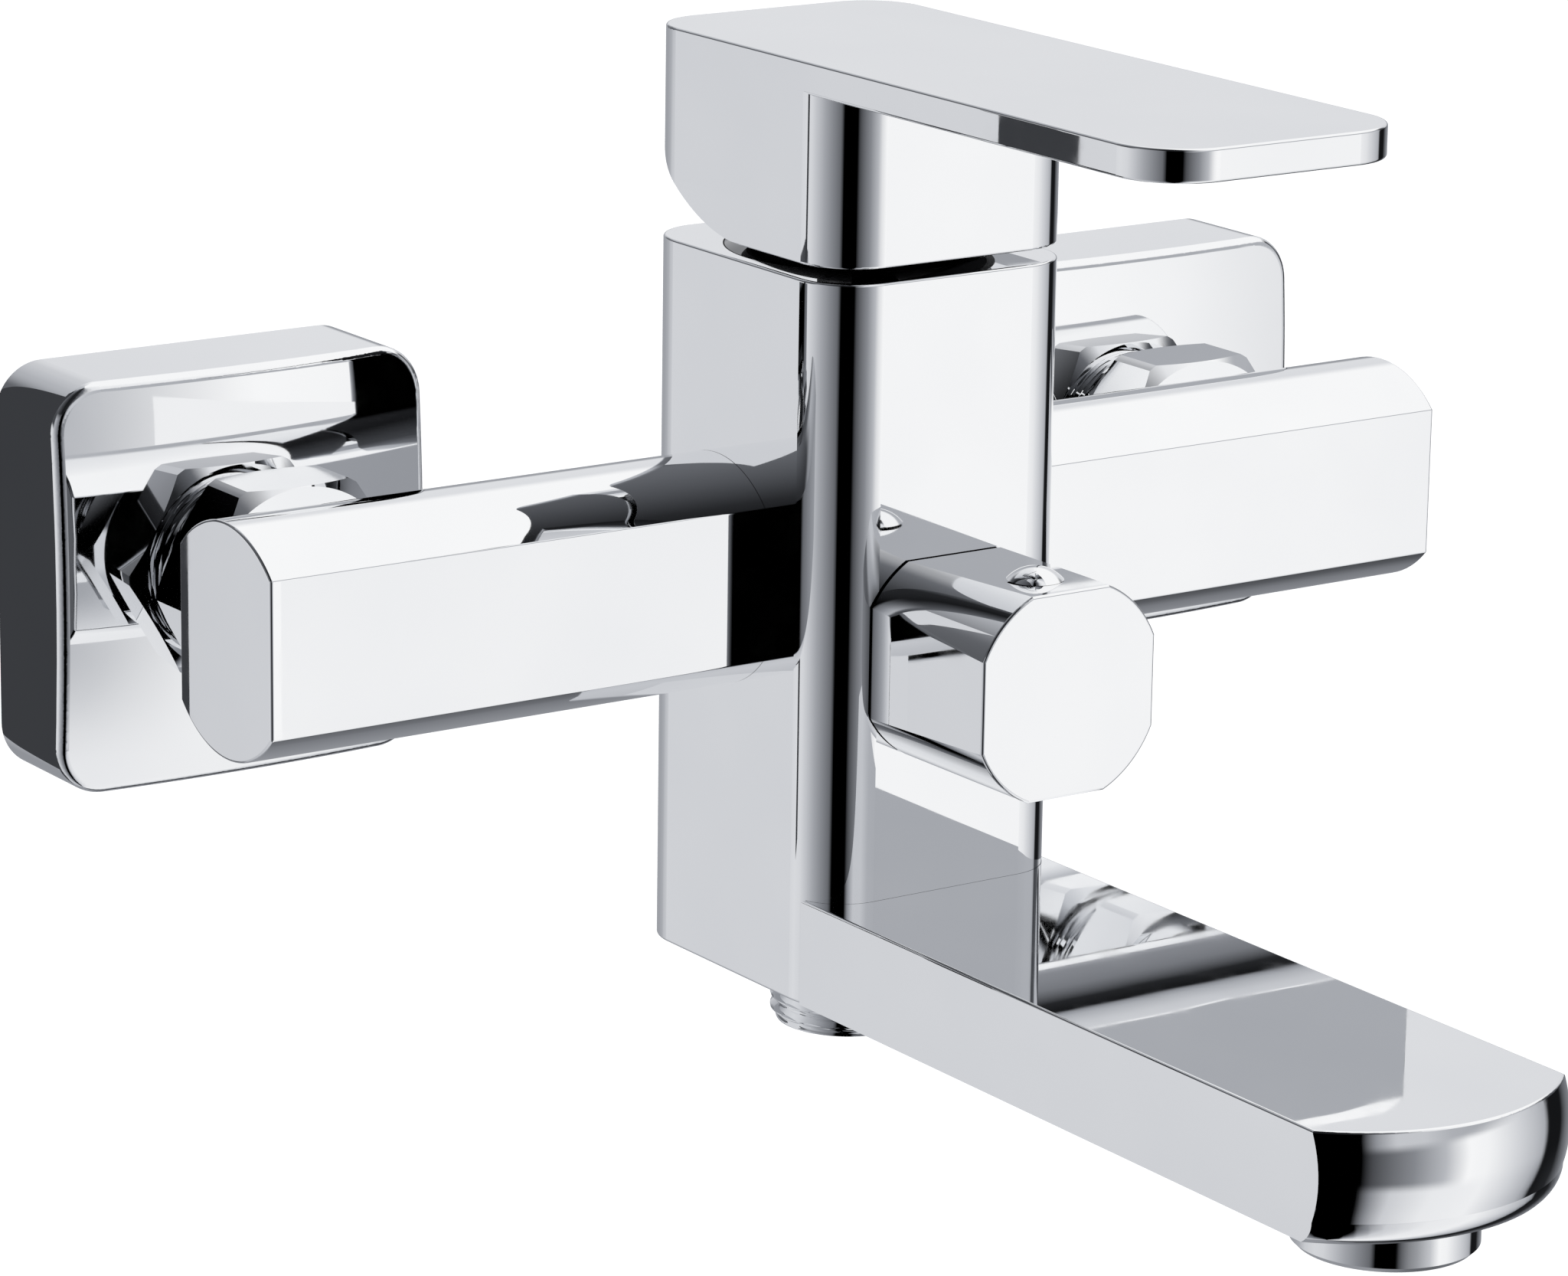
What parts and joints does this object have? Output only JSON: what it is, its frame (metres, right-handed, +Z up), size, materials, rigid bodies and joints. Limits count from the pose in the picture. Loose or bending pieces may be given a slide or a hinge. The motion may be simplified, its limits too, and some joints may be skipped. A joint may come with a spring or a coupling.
{
  "type": "wall mounted bath faucet",
  "caption": "Polished chrome single-lever bath and shower mixer for a wall, with square rosettes, flat spout, diverter knob and threaded shower outlet.",
  "frame": {"origin": "on the wall surface, midway between the two inlets and level with them", "axes": "+X to the right facing the wall, +Y into the wall, +Z up; the faucet stands out towards -Y"},
  "size_m": [0.206, 0.2051, 0.1375],
  "materials": {
    "chrome": "mirror polished",
    "brass": "machined",
    "steel": "machined",
    "seal_rubber": "matte",
    "cartridge_plastic": "moulded",
    "insert_plastic": "moulded",
    "plug_plastic": "gloss",
    "disc_ceramic": "lapped"
  },
  "bodies": {
    "mixer_body": {"aerator_gasket": "seal_rubber", "aerator_housing": "chrome", "aerator_insert": "insert_plastic", "arm_left": "chrome", "arm_right": "chrome", "body": "chrome", "cartridge_base": "cartridge_plastic", "cartridge_cover": "chrome", "cartridge_housing": "cartridge_plastic", "cartridge_nut": "brass", "diverter_fixed_disc": "disc_ceramic", "diverter_headwork": "brass", "diverter_seal": "seal_rubber", "eccentric_connector_left": "chrome", "eccentric_connector_right": "chrome", "fixed_disc": "disc_ceramic", "inlet_spigot_left": "chrome", "inlet_spigot_right": "chrome", "nut_snap_ring_left": "steel", "nut_snap_ring_right": "steel", "outlet_seal": "seal_rubber", "port_seal_left": "seal_rubber", "port_seal_outlet": "seal_rubber", "port_seal_right": "seal_rubber", "shower_outlet": "chrome", "spout": "chrome", "union_gasket_left": "seal_rubber", "union_gasket_right": "seal_rubber", "union_nut_left": "chrome", "union_nut_right": "chrome", "wall_flange_left": "chrome", "wall_flange_right": "chrome"},
    "lever_carrier": {"cartridge_carrier": "cartridge_plastic", "cartridge_pin": "steel"},
    "lever": {"lever_handle": "chrome", "lever_grub_screw": "steel", "lever_screw_plug": "plug_plastic", "cartridge_stem": "steel"},
    "disc_slider": {"moving_disc": "disc_ceramic", "disc_coupler": "cartridge_plastic"},
    "diverter": {"diverter_knob": "chrome", "knob_pip": "chrome", "knob_grub_screw": "steel", "diverter_spindle": "brass", "diverter_rotor_disc": "disc_ceramic"}
  },
  "joints": [
    {"name": "lever_swing", "type": "hinge", "parent": "mixer_body", "child": "lever_carrier", "pos_m": [0, -0.052, 0.038], "axis": [0, 0, 1], "range_deg": [-45, 45]},
    {"name": "lever_lift", "type": "hinge", "parent": "lever_carrier", "child": "lever", "pos_m": [0, -0.052, 0.038], "axis": [-1, 0, 0], "range_deg": [0, 20]},
    {"name": "disc_slide", "type": "slide", "parent": "lever_carrier", "child": "disc_slider", "axis": [0, -1, 0], "range_m": [0, 0.0043]},
    {"name": "diverter_turn", "type": "hinge", "parent": "mixer_body", "child": "diverter", "pos_m": [0, -0.075, -0.0082], "axis": [0, 1, 0], "range_deg": [0, 90]}
  ],
  "couplings": [
    {"joint": "disc_slide", "follows": "lever_lift", "m_per_rad": 0.012}
  ]
}
